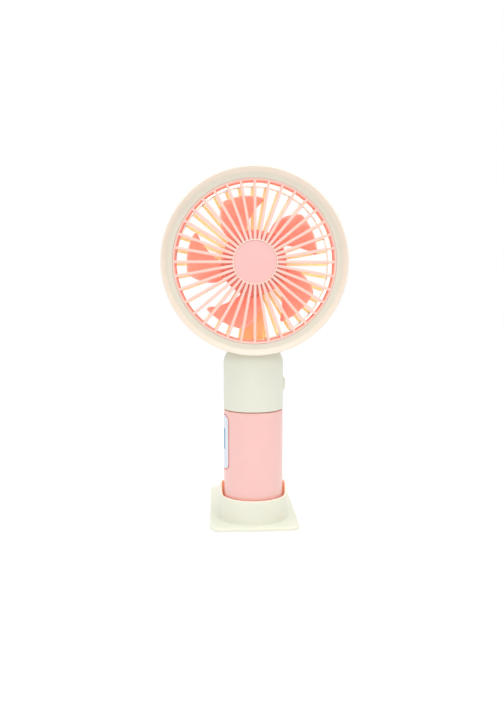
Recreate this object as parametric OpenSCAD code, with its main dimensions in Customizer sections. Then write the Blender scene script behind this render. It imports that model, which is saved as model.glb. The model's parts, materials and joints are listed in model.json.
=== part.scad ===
// Handheld electric fan with a desk stand.
// Origin: on the desk plane, under the handle's axis. +Z up, front of the fan towards -Y.
// Head pieces are drawn in head coordinates: x to the right, y up, z forwards from the handle's axis.

/* [Stand] */
// Width of the stand plate
plate_w = 47.2; // [46:0.2:52]
// How far the plate reaches in front of the handle's axis
plate_front = 21; // [20.5:0.5:24]
// How far the plate reaches behind the handle's axis
plate_back = 60; // [45:1:70]
// Corner radius of the plate
plate_corner = 6; // [4:0.5:8]
// Height of the plate's top face above the desk
plate_top = 2.1; // [2:0.1:3]
// Inside radius of the cup
cup_r = 17.05; // [16.8:0.05:17.4]
// Wall thickness of the cup
cup_wall = 1.15; // [1:0.05:1.6]
// Height of the cup's rim at the front
cup_front_h = 15.3; // [12:0.1:18]
// Height of the cup's rim at the back
cup_back_h = 20.6; // [19:0.1:26]

/* [Handle] */
// Outside radius of the handle tube
handle_r = 15.85; // [15.6:0.05:16]
// Wall thickness of the handle tube
handle_wall = 1.5; // [1.3:0.1:1.6]
// Height of the seam between handle and neck
seam_z = 61.8; // [61:0.1:63]
// Radius of the battery cell
cell_r = 9.2; // [9:0.1:9.3]
// Length of the battery cell
cell_len = 65; // [64:0.5:65.2]

/* [Neck] */
// Outside radius of the neck
neck_r = 16; // [15.9:0.05:16.2]
// Wall thickness of the neck shells
neck_wall = 1.6; // [1.4:0.1:1.8]
// Radius of the rounded shoulder at the top of the neck
shoulder_r = 10.6; // [10:0.1:11.5]
// Height of the power button's middle
button_z = 74.8; // [74.6:0.1:75.4]
// Length of the power button along the handle
button_len = 8.5; // [7.5:0.5:9]
// Width of the power button
button_w = 5; // [4.5:0.1:5.2]
// How far the button stands out of the neck
button_proud = 1.3; // [1:0.1:1.6]

/* [Head] */
// Height of the head's middle
head_z = 138.8; // [138.4:0.1:139.2]
// Outside radius of the front ring
ring_r = 47.2; // [47:0.1:47.6]
// Forward distance of the ring's crest
ring_crest = 19.6; // [19.4:0.1:20]
// Number of straight bars in each grille
bar_count = 36; // [24:2:36]
// Width of each grille bar
bar_w = 1.5; // [1.2:0.1:1.6]
// Radius of the front grille's hub
grille_hub_r = 11.32; // [11:0.02:12]

/* [Impeller] */
// Number of blades
blade_count = 5; // [3:1:5]
// Tip radius of the blades
blade_r = 34.8; // [32:0.2:35.4]
// Radius of the impeller's hub
rotor_hub_r = 17; // [16.9:0.1:17.4]
// Pitch of the blades from the plane of rotation, degrees
blade_pitch = 31; // [24:1:34]

/* [Hidden] */
$fn = 96;
handle_in = handle_r - handle_wall;
spigot_r = handle_in - 0.1;
neck_in = neck_r - neck_wall;
dome_z = 86;
dome_c = neck_r - shoulder_r;
cell_z = 5;
board_z = 71.9;
board_t = 1.2;
cup_out = cup_r + cup_wall;
screw_x = 8.5;
screw_z = 81.5;
// routes of the leads
motor_route = [[0, 5.5, head_z - 12.8], [0, 7, head_z - 13.1], [0, 8.6, head_z - 13.8], [0, 9.4, head_z - 15.2], [0, 9.4, head_z - 17.5], [0, 9.4, 110], [0, 9.4, 95], [0, 9.2, 91],
  [0, 8, 87], [0, 5.6, 82], [0, 4.8, 79], [0, 4.5, 76], [0, 4.5, board_z + board_t]];
minus_route = [[0, 10.3, cell_z], [0, 10.3, 20], [0, 10.3, 40], [0, 10.3, 60], [-0.6, 10.4, 64], [-2.4, 10.6, 67], [-3.7, 10.6, 69], [-4, 10.6, 70.6], [-4, 10.6, board_z - 0.02]];
plus_route = [[2.2, 9.2, cell_z + cell_len + 0.22], [2.2, 9.2, 71], [2.2, 9.2, board_z - 0.02]];
// polar outline of one blade: radius and angle
blade_outline = [[16.3, 105.5], [18.2, 103], [21, 98.6], [23.9, 94], [27.4, 89], [31, 85.2], [33.6, 83],
  [34.9, 83.6], [34.9, 90], [34.9, 97], [34.9, 104], [34.9, 111], [34.4, 116.5], [33, 121], [30.6, 125.5],
  [27, 131], [23.7, 134.4], [20.5, 134.8], [16.3, 132]];

// ---------- helpers ----------
module at_head() { translate([0, 0, head_z]) rotate([90, 0, 0]) children(); }
module ring(r1, r2, z1, z2) { translate([0, 0, z1]) difference() { cylinder(r = r2, h = z2 - z1); translate([0, 0, -1]) cylinder(r = r1, h = z2 - z1 + 2); } }
module rounded_plate(x1, x2, y1, y2, r, z1, z2) {
  translate([0, 0, z1]) linear_extrude(z2 - z1) union() {
    translate([x1 + r, y1]) square([x2 - x1 - 2 * r, y2 - y1]);
    translate([x1, y1 + r]) square([x2 - x1, y2 - y1 - 2 * r]);
    for (p = [[x1 + r, y1 + r], [x2 - r, y1 + r], [x1 + r, y2 - r], [x2 - r, y2 - r]]) translate(p) circle(r = r);
  }
}
function unit(v) = v / norm(v);
// a round lead swept along its own points, none of them along X
module wire(pts, r, n = 8) {
  m = len(pts);
  rings = [for (i = [0 : m - 1]) let (t = unit(pts[min(i + 1, m - 1)] - pts[max(i - 1, 0)]), u = unit(cross(t, [1, 0, 0])), v = cross(t, u))
    for (k = [0 : n - 1]) pts[i] + r * (cos(360 * k / n) * u + sin(360 * k / n) * v)];
  polyhedron(rings, concat([[for (k = [0 : n - 1]) k]], [for (i = [0 : m - 2], k = [0 : n - 1]) [i * n + k, (i + 1) * n + k, (i + 1) * n + (k + 1) % n, i * n + (k + 1) % n]],
    [[for (k = [n - 1 : -1 : 0]) (m - 1) * n + k]]));
}
module stadium(w, l, h) { linear_extrude(h) union() { square([w, l - w], center = true); for (s = [-1, 1]) translate([0, s * (l - w) / 2]) circle(d = w); } }
// the button's outline, pushed along +X from the handle's axis
module button_prism(w, l, x1, x2) { translate([x1, 0, button_z]) rotate([90, 0, 90]) stadium(w, l, x2 - x1); }

// ---------- stand ----------
module stand() color("ivory") difference() {
  union() {
    rounded_plate(-plate_w / 2, plate_w / 2, -plate_front, plate_back, plate_corner, 0.3, plate_top - 0.4);
    rounded_plate(-plate_w / 2 + 0.3, plate_w / 2 - 0.3, -plate_front + 0.3, plate_back - 0.3, plate_corner - 0.3, plate_top - 0.5, plate_top);
    difference() {
      rotate_extrude() polygon([[cup_r, 1], [cup_out + 0.9, 1], [cup_out + 0.9, plate_top], [cup_out + 0.35, plate_top + 0.2],
        [cup_out + 0.1, plate_top + 0.6], [cup_out, plate_top + 1.1], [cup_out, cup_back_h - 0.3], [cup_out - 0.3, cup_back_h], [cup_r + 0.3, cup_back_h], [cup_r, cup_back_h - 0.3]]);
      // the rim dips towards the front
      rotate([90, 0, 90]) translate([0, 0, -25]) linear_extrude(50) polygon(concat([[-30, 40], [-30, cup_front_h]],
        [for (i = [0 : 12]) let (t = i / 12) [-6 + 9 * t, cup_front_h + (cup_back_h - cup_front_h + 0.01) * t * t * (3 - 2 * t)]], [[3.2, 40]]));
    }
  }
  rounded_plate(-plate_w / 2 + 4, plate_w / 2 - 4, -plate_front + 4, plate_back - 4, 3, -1, 0.8);
}
module anti_slip_pad() color("gainsboro") rounded_plate(-plate_w / 2 + 4.1, plate_w / 2 - 4.1, -plate_front + 4.1, plate_back - 4.1, 2.9, 0, 0.8);

// ---------- handle ----------
module label_prism(x1, x2) rotate([0, 0, -195]) translate([x1, 0, 44.2]) rotate([90, 0, 90]) linear_extrude(x2 - x1) union() {
  square([22.4, 28.8 - 6], center = true); square([22.4 - 6, 28.8], center = true);
  for (a = [-1, 1], b = [-1, 1]) translate([a * 8.2, b * 11.4]) circle(r = 3);
}
module handle_tube() color("lightpink") difference() {
  rotate_extrude() polygon([[handle_in, 4.4], [handle_r, 4.4], [handle_r, seam_z - 0.8], [handle_r - 0.4, seam_z - 0.4], [handle_in, seam_z - 0.4]]);
  // shallow seat for the label
  intersection() { ring(handle_r - 0.1, handle_r + 1, 20, 61); label_prism(5, 20); }
}
module handle_end_cap() color("lightpink") rotate_extrude() polygon([[0, 2.3], [handle_r - 1.4, 2.3], [handle_r - 0.7, 2.49], [handle_r - 0.19, 3.0], [handle_r, 3.7], [handle_r, 4.3],
  [spigot_r, 4.3], [spigot_r, 10], [spigot_r - 1.5, 10], [spigot_r - 1.5, 4.3], [0, 4.3]]);
module handle_label() color("white") intersection() {
  ring(handle_r - 0.1, handle_r + 0.02, 20, 61);
  label_prism(5, 20);
}

// ---------- neck ----------
module neck_outer(d) {
  rotate_extrude() polygon(concat([[0, seam_z + d], [neck_r - d, seam_z + d], [neck_r - d, dome_z]],
    [for (i = [1 : 17]) let (a = 90 * i / 18) [dome_c + (shoulder_r - d) * cos(a), dome_z + (shoulder_r - d) * sin(a)]], [[dome_c, dome_z + shoulder_r - d], [0, dome_z + shoulder_r - d]]));
}
// outside of the head, grown by g, to trim the neck
module head_envelope(g) at_head() rotate_extrude() polygon([[0, 19.2 + g], [46, 19.2 + g], [ring_r + g, 19.2], [ring_r + g, 17.6], [46.5 + g, 15.05], [46.3 + g, 8], [45.7 + g, 0], [45 + g, -7],
  [44.4 + g, -9.8], [43.4 + g, -11.6], [42 + g, -12.6 - g], [0, -12.6 - g]]);
module neck_half(side) difference() {
  intersection() {
    difference() {
      union() {
        difference() {
          union() { neck_outer(0); translate([0, 0, 54]) cylinder(r = spigot_r, h = 9); }
          neck_outer(neck_wall);
          translate([0, 0, 50]) cylinder(r = spigot_r - 1.5, h = 16);
        }
        // screw bosses, cut to the shell's inside
        intersection() { neck_outer(0.5); for (s = [-1, 1]) translate([s * screw_x, 20, screw_z]) rotate([90, 0, 0]) cylinder(r = 2.3, h = 40); }
      }
      head_envelope(0.06);
      translate([0, 2, 84]) cylinder(r = 9.6, h = 20);
      button_prism(button_w + 0.5, button_len + 0.5, 10, 20);
    }
    translate([-30, side > 0 ? 0.03 : -60.03, 50]) cube([60, 60, 60]);
  }
  for (s = [-1, 1]) translate([s * screw_x, 9, screw_z]) rotate([90, 0, 0]) cylinder(r = side > 0 ? 1.1 : 0.85, h = side > 0 ? 30 : 16.5);
  if (side > 0) {
    for (s = [-1, 1]) translate([s * screw_x, 8, screw_z]) rotate([-90, 0, 0]) cylinder(r = 2, h = 12);
    // port and light openings
    translate([0, 20, 74.73]) rotate([90, 90, 0]) stadium(3.7, 9.4, 10);
    translate([0, 11, 85]) rotate([-90, 0, 0]) cylinder(r = 1.25, h = 9);
  }
}
module board_posts() for (a = [225, 315]) rotate([0, 0, a]) translate([12.1, 0, 63]) difference() { cylinder(r = 1.9, h = board_z - 63); translate([0, 0, 3]) cylinder(r = 0.7, h = 12); }
module neck_front_shell() color("beige") union() { neck_half(-1); intersection() { board_posts(); neck_outer(0.5); } }
module neck_rear_shell() color("beige") neck_half(1);
module shell_screws() color("silver") for (s = [-1, 1]) translate([s * screw_x, 0, screw_z]) {
  translate([0, 8.05, 0]) rotate([-90, 0, 0]) difference() { cylinder(r = 1.85, h = 1.4); translate([-1.3, -0.2, 0.8]) cube([2.6, 0.4, 1]); translate([-0.2, -1.3, 0.8]) cube([0.4, 2.6, 1]); }
  translate([0, 8.1, 0]) rotate([90, 0, 0]) cylinder(r = 0.84, h = 14);
}

// ---------- head ----------
module front_bezel() color("antiquewhite") at_head() rotate_extrude() polygon([[41.45, 16.75], [42.6, 16.8], [43.6, 17.0], [44.4, 17.45], [45.2, 18.2], [46.0, 19.05], [46.5, ring_crest - 0.1], [46.8, ring_crest],
  [47.1, ring_crest - 0.15], [ring_r, ring_crest - 0.6], [ring_r, 17.6], [46.9, 16.2], [46.5, 15.1], [44.65, 15.1], [44.65, 11.5], [43.3, 11.5], [43.3, 14.2], [40.5, 14.2], [40.5, 15.6], [41.45, 15.6]]);
module front_grille() color("salmon") at_head() union() {
  rotate_extrude() polygon([[39.8, 16.9], [41.35, 16.9], [41.35, 15.7], [40.2, 15.7], [39.1, 12.6], [38.1, 12.6]]);
  for (i = [0 : bar_count - 1]) rotate([0, 0, 360 * i / bar_count]) rotate([90, 0, 0]) translate([0, 0, -bar_w / 2]) linear_extrude(bar_w)
    polygon([[11, 18.32], [40.2, 16.9], [39.7, 14.9], [11, 16.27]]);
  difference() {
    translate([0, 0, 16.2]) cylinder(r = grille_hub_r, h = 2.5);
    translate([0, 0, 17.8]) cylinder(r = grille_hub_r - 0.45, h = 2);
  }
}
module grille_hub_cap() color("pink") at_head() translate([0, 0, 17.82]) cylinder(r = grille_hub_r - 0.5, h = 0.75);
// solid inside of the rear housing's outer face, g below it
module housing_solid(g) rotate_extrude() polygon([[0, 14.6], [46.4 - g, 14.6], [46.3 - g, 8], [45.7 - g, 0], [45 - g, -7], [44.4 - g, -9.8], [43.4 - g, -11.6], [42.4 - g, -12.4], [0, -12.4]]);
// channel for the motor's leads, from the hub down to the neck
module lead_channel() at_head() {
  translate([-2.2, -49, -10.6]) cube([4.4, 36, 2.4]);
  translate([-2.2, -15.5, -10.55]) cube([4.4, 4, 5.2]);
}
module rear_housing() color("ivory") difference() {
  union() {
    // wall, with a ledge and a seat at the back that the rear grille sits in
    at_head() rotate_extrude() polygon([[46.45, 15.0], [46.3, 8], [45.7, 0], [45, -7], [44.4, -9.8], [43.4, -11.6], [42.4, -12.4], [42.2, -12.4], [42.2, -10.5], [41.7, -10.5], [41.7, -9.9],
      [42.5, -9.6], [43.3, -7], [44.1, 0], [44.6, 8], [44.8, 15.0]]);
    // collar that the neck shells close around
    difference() {
      translate([0, 2, 87]) cylinder(r = 9.5, h = 10);
      at_head() housing_solid(0.6);
      translate([0, 2, 86]) cylinder(r = 8.2, h = 5.4);
    }
  }
  lead_channel();
}
module rear_grille() color("navajowhite") difference() {
  at_head() union() {
    rotate_extrude() polygon([[41, -12.6], [42, -12.6], [42.15, -12.45], [42.15, -10.55], [41, -10.55]]);
    for (i = [0 : bar_count - 1]) rotate([0, 0, 360 * i / bar_count]) translate([14, -bar_w / 2, -12.5]) cube([27.5, bar_w, 1.7]);
    translate([0, 0, -12.6]) cylinder(r = 15, h = 3.6);
    translate([0, 0, -9.3]) cylinder(r = 6, h = 3.8);
    // covered channel for the leads
    intersection() {
      translate([-6, -46, -12.55]) cube([12, 32, 5.55]);
      rotate_extrude() polygon([[0, -12.55], [41.6, -12.55], [41.6, -9.75], [42.35, -9.5], [43.1, -7], [43.1, -6], [0, -6]]);
    }
  }
  at_head() translate([0, 0, -11.1]) cylinder(r = 4.06, h = 8);
  lead_channel();
}

// ---------- motor ----------
module bearing_tube() color("gold") at_head() ring(3, 4, -11, 6.5);
module front_bearing() color("goldenrod") at_head() ring(1.04, 2.96, 3, 6);
module rear_bearing() color("goldenrod") at_head() ring(1.04, 2.96, -9, -6);
module stator_arm(g) translate([5, -2 - g, -1.5 - g]) cube([7, 4 + 2 * g, 6 + 2 * g]);
module stator_core() color("dimgray") at_head() difference() {
  union() {
    translate([0, 0, -1.5]) cylinder(r = 6.2, h = 6);
    for (a = [45 : 90 : 315]) rotate([0, 0, a]) { stator_arm(0); intersection() { ring(11.4, 12.9, -1.5, 4.5); translate([0, -7.2, -3]) cube([14, 14.4, 12]); } }
  }
  translate([0, 0, -3]) cylinder(r = 4.03, h = 10);
}
module stator_coils() color("orangered") at_head() for (a = [45 : 90 : 315]) rotate([0, 0, a]) difference() {
  translate([6.9, -3.7, -3]) cube([3.7, 7.4, 9]);
  translate([0, 0, 0]) stator_arm(0.05);
}
module motor_board() color("seagreen") at_head() difference() { ring(4.3, 14, -5.4, -4.4); translate([-0.8, -13.3, -6]) cube([1.6, 1.2, 3]); }
module motor_wires() color("crimson") for (s = [-1, 1]) translate([s * 1.2, 0, 0]) wire(motor_route, 0.55);

// ---------- handle contents ----------
module battery_cell() color("mediumturquoise") union() { translate([0, 0, cell_z]) cylinder(r = cell_r, h = cell_len - 0.9); translate([0, 0, cell_z + cell_len - 1]) cylinder(r = 3.2, h = 1); }
module battery_tabs() color("silver") { translate([-3, -8, cell_z - 0.2]) cube([6, 19, 0.15]); translate([-3, -3, cell_z + cell_len + 0.05]) cube([6, 13.2, 0.15]); }
module battery_foam_pads() color("dimgray") for (z = [13, 44]) difference() { ring(cell_r + 0.05, handle_in - 0.1, z, z + 6); translate([-1.6, cell_r - 1, z - 1]) cube([3.2, 3.2, 8]); }
module battery_wires() color("black") { wire(minus_route, 0.5); wire(plus_route, 0.5); }

// ---------- electronics ----------
module circuit_board() color("darkgreen") difference() {
  translate([0, 0, board_z]) cylinder(r = 13.9, h = board_t);
  for (a = [225, 315]) rotate([0, 0, a]) translate([12.1, 0, board_z - 1]) cylinder(r = 1, h = 4);
  // flat beside the button
  translate([11.8, -10, board_z - 1]) cube([10, 20, 4]);
}
module board_components() color("black") {
  translate([-9.5, -3, board_z + board_t]) cube([5, 4, 1.5]);
  translate([-3, -8.5, board_z + board_t]) cube([4, 5, 1.2]);
  translate([-10, 3.5, board_z + board_t]) cube([3, 3, 2]);
  translate([4.6, -9, board_z + board_t]) cube([2.4, 1.4, 0.9]);
  // charge light on its legs
  translate([0, 8.6, 85]) rotate([-90, 0, 0]) union() { cylinder(r = 1.5, h = 3.3); cylinder(r = 1.8, h = 0.8); }
  for (s = [-1, 1]) translate([s * 0.8 - 0.2, 7.8, board_z + board_t]) cube([0.4, 0.4, 84.6 - board_z]);
}
module usb_socket() color("silver") translate([0, 15.6, 74.73]) rotate([90, 90, 0]) difference() {
  stadium(3.2, 8.9, 7.3);
  difference() { translate([0, 0, -1]) stadium(2.6, 8.3, 7.3); translate([-0.35, -3.1, 0.8]) cube([0.7, 6.2, 7]); }
}
module switch_body() color("dimgray") difference() {
  translate([6.8, -3, board_z + board_t]) cube([4.8, 6, 3.4]);
  translate([9.6, 0, button_z]) rotate([0, 90, 0]) cylinder(r = 0.98, h = 4);
}
module light_guide() color("white") translate([0, 12, 85]) rotate([-90, 0, 0]) union() { cylinder(r = 1.2, h = 4.05); cylinder(r = 1.9, h = 1); }
module board_screws() color("silver") for (a = [225, 315]) rotate([0, 0, a]) translate([12.1, 0, 0]) { translate([0, 0, board_z + board_t + 0.02]) cylinder(r = 1.55, h = 1.1); translate([0, 0, 67.2]) cylinder(r = 0.69, h = 6.2); }

// ---------- rotor ----------
module impeller() color("coral") at_head() {
  difference() {
    union() {
      rotate_extrude() polygon([[0, 10.6], [14.6, 10.6], [15.8, 10.3], [16.7, 9.4], [rotor_hub_r, 8.2], [rotor_hub_r, -3.6], [16.05, -3.6], [16.05, 8.9], [0, 8.9]]);
      translate([0, 0, 7.1]) cylinder(r = 2.2, h = 2);
      intersection() {
        for (k = [0 : blade_count - 1]) rotate([0, 0, 360 / blade_count * k + 108]) translate([0, 0, 3.3]) rotate([blade_pitch, 0, 0]) translate([0, 0, -0.7]) linear_extrude(1.4)
          polygon([for (p = blade_outline) [p[0] * cos(p[1] - 108), p[0] * sin(p[1] - 108) / cos(blade_pitch)]]);
        ring(16.2, blade_r, -10, 20);
      }
    }
    translate([0, 0, 6]) cylinder(r = 0.99, h = 3.9);
  }
}
module rotor_yoke() color("silver") at_head() difference() {
  translate([0, 0, -3.2]) cylinder(r = 16, h = 12);
  translate([0, 0, -4]) cylinder(r = 15.2, h = 12);
  cylinder(r = 2.3, h = 20);
}
module ring_magnet() color("dimgray") at_head() ring(13.4, 15.15, -3, 7.9);
module rotor_shaft() color("silver") at_head() translate([0, 0, -9.95]) cylinder(r = 0.98, h = 19.8);
module retaining_clip() color("black") at_head() ring(1, 2, -9.7, -9.2);

// ---------- button ----------
module power_button() color("ivory") union() {
  intersection() {
    button_prism(button_w, button_len, 13.5, 20);
    translate([neck_r + button_proud - 12, 0, button_z]) sphere(r = 12);
  }
  button_prism(6.2, 9.8, 12.8, 13.55);
}
module switch_plunger() color("black") translate([10.6, 0, button_z]) rotate([0, 90, 0]) cylinder(r = 0.9, h = 2.2);

stand();
anti_slip_pad();
handle_tube();
handle_end_cap();
handle_label();
neck_front_shell();
neck_rear_shell();
front_bezel();
front_grille();
grille_hub_cap();
rear_housing();
rear_grille();
bearing_tube();
front_bearing();
rear_bearing();
stator_core();
stator_coils();
motor_board();
motor_wires();
battery_cell();
battery_tabs();
battery_foam_pads();
battery_wires();
circuit_board();
board_components();
usb_socket();
switch_body();
light_guide();
shell_screws();
board_screws();
impeller();
rotor_yoke();
ring_magnet();
rotor_shaft();
retaining_clip();
power_button();
switch_plunger();
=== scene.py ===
import bpy, bmesh, json, math
from math import sin, cos, pi, radians, sqrt, atan2
from mathutils import Vector, Matrix

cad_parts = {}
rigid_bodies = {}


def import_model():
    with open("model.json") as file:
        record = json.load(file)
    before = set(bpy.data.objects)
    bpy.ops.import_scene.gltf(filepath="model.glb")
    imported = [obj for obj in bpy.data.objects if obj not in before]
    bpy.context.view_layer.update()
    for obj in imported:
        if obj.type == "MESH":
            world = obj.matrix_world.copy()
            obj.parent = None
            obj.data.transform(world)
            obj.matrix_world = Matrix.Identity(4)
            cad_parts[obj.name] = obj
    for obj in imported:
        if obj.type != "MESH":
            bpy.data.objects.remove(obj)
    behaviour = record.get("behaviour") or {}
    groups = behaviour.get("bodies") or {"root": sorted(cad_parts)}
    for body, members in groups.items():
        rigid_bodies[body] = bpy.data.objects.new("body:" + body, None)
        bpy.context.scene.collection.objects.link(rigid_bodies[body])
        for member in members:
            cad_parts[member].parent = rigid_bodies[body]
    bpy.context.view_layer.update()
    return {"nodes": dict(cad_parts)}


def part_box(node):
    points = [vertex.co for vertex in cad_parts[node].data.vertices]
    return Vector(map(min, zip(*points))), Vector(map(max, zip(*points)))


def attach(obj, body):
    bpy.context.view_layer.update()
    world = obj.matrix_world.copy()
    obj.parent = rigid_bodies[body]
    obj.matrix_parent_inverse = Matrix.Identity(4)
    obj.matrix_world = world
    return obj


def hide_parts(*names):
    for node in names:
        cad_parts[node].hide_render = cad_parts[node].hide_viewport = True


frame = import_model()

MM = 0.001
nodes = frame["nodes"]

# ---------------------------------------------------------------- key sizes, in mm, read from the frame
blo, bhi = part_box("front_bezel")
HZ = (blo[2] + bhi[2]) / 2 / MM                 # height of the head's middle
RING_R = (bhi[0] - blo[0]) / 2 / MM             # outside radius of the front ring
CREST = -blo[1] / MM                            # forward distance of the ring's crest
hlo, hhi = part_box("handle_tube")
HR = (hhi[0] - hlo[0]) / 2 / MM                 # handle radius
HTOP = hhi[2] / MM
nlo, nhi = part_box("neck_front_shell")
NR = -nlo[1] / MM                               # neck radius
SEAM = HTOP + 0.4
slo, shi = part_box("stand")
SX0, SX1, SY0, SY1 = slo[0] / MM, shi[0] / MM, slo[1] / MM, shi[1] / MM
CUP_BACK = shi[2] / MM
buttlo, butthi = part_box("power_button")
BZ = (buttlo[2] + butthi[2]) / 2 / MM
BX = butthi[0] / MM

# ---------------------------------------------------------------- mesh helpers (all inputs in mm)
def new_obj(name, verts, faces, smooth=35.0, recalc=True):
    me = bpy.data.meshes.new(name)
    me.from_pydata([(v[0] * MM, v[1] * MM, v[2] * MM) for v in verts], [], faces)
    me.validate()
    if recalc:
        bm = bmesh.new(); bm.from_mesh(me)
        bmesh.ops.recalc_face_normals(bm, faces=bm.faces)
        bm.to_mesh(me); bm.free()
    ob = bpy.data.objects.new(name, me)
    bpy.context.scene.collection.objects.link(ob)
    shade(ob, smooth)
    return ob

def shade(ob, angle=35.0):
    me = ob.data
    me.shade_smooth()
    me.set_sharp_from_angle(angle=radians(angle))

def rounded(corners, closed=True, n=5):
    """corners: (x, y, radius). Returns the polyline with its corners rounded."""
    out = []
    m = len(corners)
    for i, (x, y, r) in enumerate(corners):
        if r <= 0 or (not closed and i in (0, m - 1)):
            out.append((x, y)); continue
        p = Vector((x, y)); a = Vector(corners[(i - 1) % m][:2]) - p; b = Vector(corners[(i + 1) % m][:2]) - p
        la, lb = a.length, b.length
        a.normalize(); b.normalize()
        ang = math.acos(max(-1, min(1, a.dot(b))))
        if ang > pi - 0.02:
            out.append((x, y)); continue
        t = min(r / math.tan(ang / 2), la * 0.49, lb * 0.49)
        rr = t * math.tan(ang / 2)
        c = p + (a + b).normalized() * (rr / math.sin(ang / 2))
        p1, p2 = p + a * t, p + b * t
        a1 = atan2(p1.y - c.y, p1.x - c.x); a2 = atan2(p2.y - c.y, p2.x - c.x)
        d = (a2 - a1 + pi) % (2 * pi) - pi
        for k in range(n + 1):
            q = a1 + d * k / n
            out.append((c.x + rr * cos(q), c.y + rr * sin(q)))
    return out

def head_pt(x, y, f):
    return (x, -f, HZ + y)

def lathe(name, prof, segs=256, head=False, closed=True, smooth=35.0, centre=(0, 0)):
    """prof: (r, h) points. closed: the profile is a ring that doesn't touch the axis; otherwise it runs from axis to axis."""
    verts, faces, rows = [], [], []
    for (r, h) in prof:
        if r < 1e-6:
            rows.append([len(verts)])
            verts.append(head_pt(0, 0, h) if head else (centre[0], centre[1], h))
        else:
            row = []
            for k in range(segs):
                a = 2 * pi * k / segs
                row.append(len(verts))
                verts.append(head_pt(r * cos(a), r * sin(a), h) if head else (centre[0] + r * cos(a), centre[1] + r * sin(a), h))
            rows.append(row)
    m = len(rows)
    for i in range(m if closed else m - 1):
        A, B = rows[i], rows[(i + 1) % m]
        for k in range(segs):
            k2 = (k + 1) % segs
            if len(A) == 1 and len(B) == 1: continue
            if len(A) == 1: faces.append((A[0], B[k], B[k2]))
            elif len(B) == 1: faces.append((A[k], B[0], A[k2]))
            else: faces.append((A[k], B[k], B[k2], A[k2]))
    return new_obj(name, verts, faces, smooth)

def prism(name, outline, lo, hi, place, smooth=35.0):
    """outline: closed (u, v) points, extruded from lo to hi; place(u, v, w) gives the point."""
    n = len(outline)
    verts = [place(u, v, lo) for u, v in outline] + [place(u, v, hi) for u, v in outline]
    faces = [tuple(range(n))[::-1], tuple(range(n, 2 * n))] + [(k, (k + 1) % n, n + (k + 1) % n, n + k) for k in range(n)]
    return new_obj(name, verts, faces, smooth)

def rrect(w, h, r, n=8, cx=0, cy=0):
    return rounded([(cx - w / 2, cy - h / 2, r), (cx + w / 2, cy - h / 2, r), (cx + w / 2, cy + h / 2, r), (cx - w / 2, cy + h / 2, r)], True, n)

def stadium(w, l, n=16):
    return rrect(w, l, w / 2 - 1e-4, n)

def boolean(ob, cutter, op="DIFFERENCE", keep=False):
    m = ob.modifiers.new("b", "BOOLEAN"); m.operation = op; m.object = cutter; m.solver = "EXACT"
    dg = bpy.context.evaluated_depsgraph_get()
    me = bpy.data.meshes.new_from_object(ob.evaluated_get(dg))
    ob.modifiers.remove(m)
    old = ob.data; ob.data = me; bpy.data.meshes.remove(old)
    if not keep:
        bpy.data.objects.remove(cutter)
    return ob

def clean(ob, dist=0.002):
    bm = bmesh.new(); bm.from_mesh(ob.data)
    bmesh.ops.remove_doubles(bm, verts=bm.verts, dist=dist * MM)
    bmesh.ops.dissolve_degenerate(bm, dist=dist * MM, edges=bm.edges)
    bm.to_mesh(ob.data); bm.free()

def bevel(ob, width, segs=2, angle=40.0, smooth=35.0):
    m = ob.modifiers.new("v", "BEVEL"); m.width = width * MM; m.segments = segs; m.limit_method = "ANGLE"; m.angle_limit = radians(angle); m.miter_outer = "MITER_ARC"
    dg = bpy.context.evaluated_depsgraph_get()
    me = bpy.data.meshes.new_from_object(ob.evaluated_get(dg))
    ob.modifiers.remove(m)
    old = ob.data; ob.data = me; bpy.data.meshes.remove(old)
    shade(ob, smooth)
    return ob

def join(name, obs, smooth=35.0):
    verts, faces, base, mats, idx = [], [], 0, [], []
    for o in obs:
        verts += [tuple(v.co) for v in o.data.vertices]
        for p in o.data.polygons:
            faces.append(tuple(i + base for i in p.vertices))
            idx.append(p.material_index if not o.data.materials else (mats.index(o.data.materials[p.material_index]) if o.data.materials[p.material_index] in mats else (mats.append(o.data.materials[p.material_index]) or len(mats) - 1)))
        base += len(o.data.vertices)
    me = bpy.data.meshes.new(name)
    me.from_pydata(verts, [], faces)
    for m in mats: me.materials.append(m)
    if mats: me.polygons.foreach_set("material_index", idx)
    for o in obs: bpy.data.objects.remove(o)
    ob = bpy.data.objects.new(name, me)
    bpy.context.scene.collection.objects.link(ob)
    shade(ob, smooth)
    return ob

def bar(name, p0, p1, w0, w1, d0, d1, side, r=0.35, n=3, front=0.0):
    """A straight rounded bar from p0 to p1 (points on its front face), w wide along side, d deep away from the front."""
    p0, p1, side = Vector(p0), Vector(p1), Vector(side).normalized()
    t = (p1 - p0).normalized(); depth = t.cross(side).normalized()
    if depth.y < 0: depth = -depth              # away from the front is +Y
    verts = []
    for p, w, d in ((p0, w0, d0), (p1, w1, d1)):
        sec = rounded([(-w / 2 + front, 0, r), (w / 2 - front, 0, r), (w / 2, d, r * 0.6), (-w / 2, d, r * 0.6)], True, n)
        verts += [tuple(p + side * u + depth * v) for u, v in sec]
    m = len(verts) // 2
    faces = [tuple(range(m))[::-1], tuple(range(m, 2 * m))] + [(k, (k + 1) % m, m + (k + 1) % m, m + k) for k in range(m)]
    return new_obj(name, verts, faces, 30)

# ---------------------------------------------------------------- materials
def srgb(*c):
    """0-255 display colour to linear."""
    return tuple((v / 255 / 12.92 if v / 255 <= 0.04045 else ((v / 255 + 0.055) / 1.055) ** 2.4) for v in c) + (1.0,)

def nd(nt, kind, **kw):
    n = nt.nodes.new(kind)
    for k, v in kw.items(): setattr(n, k, v)
    return n

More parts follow.
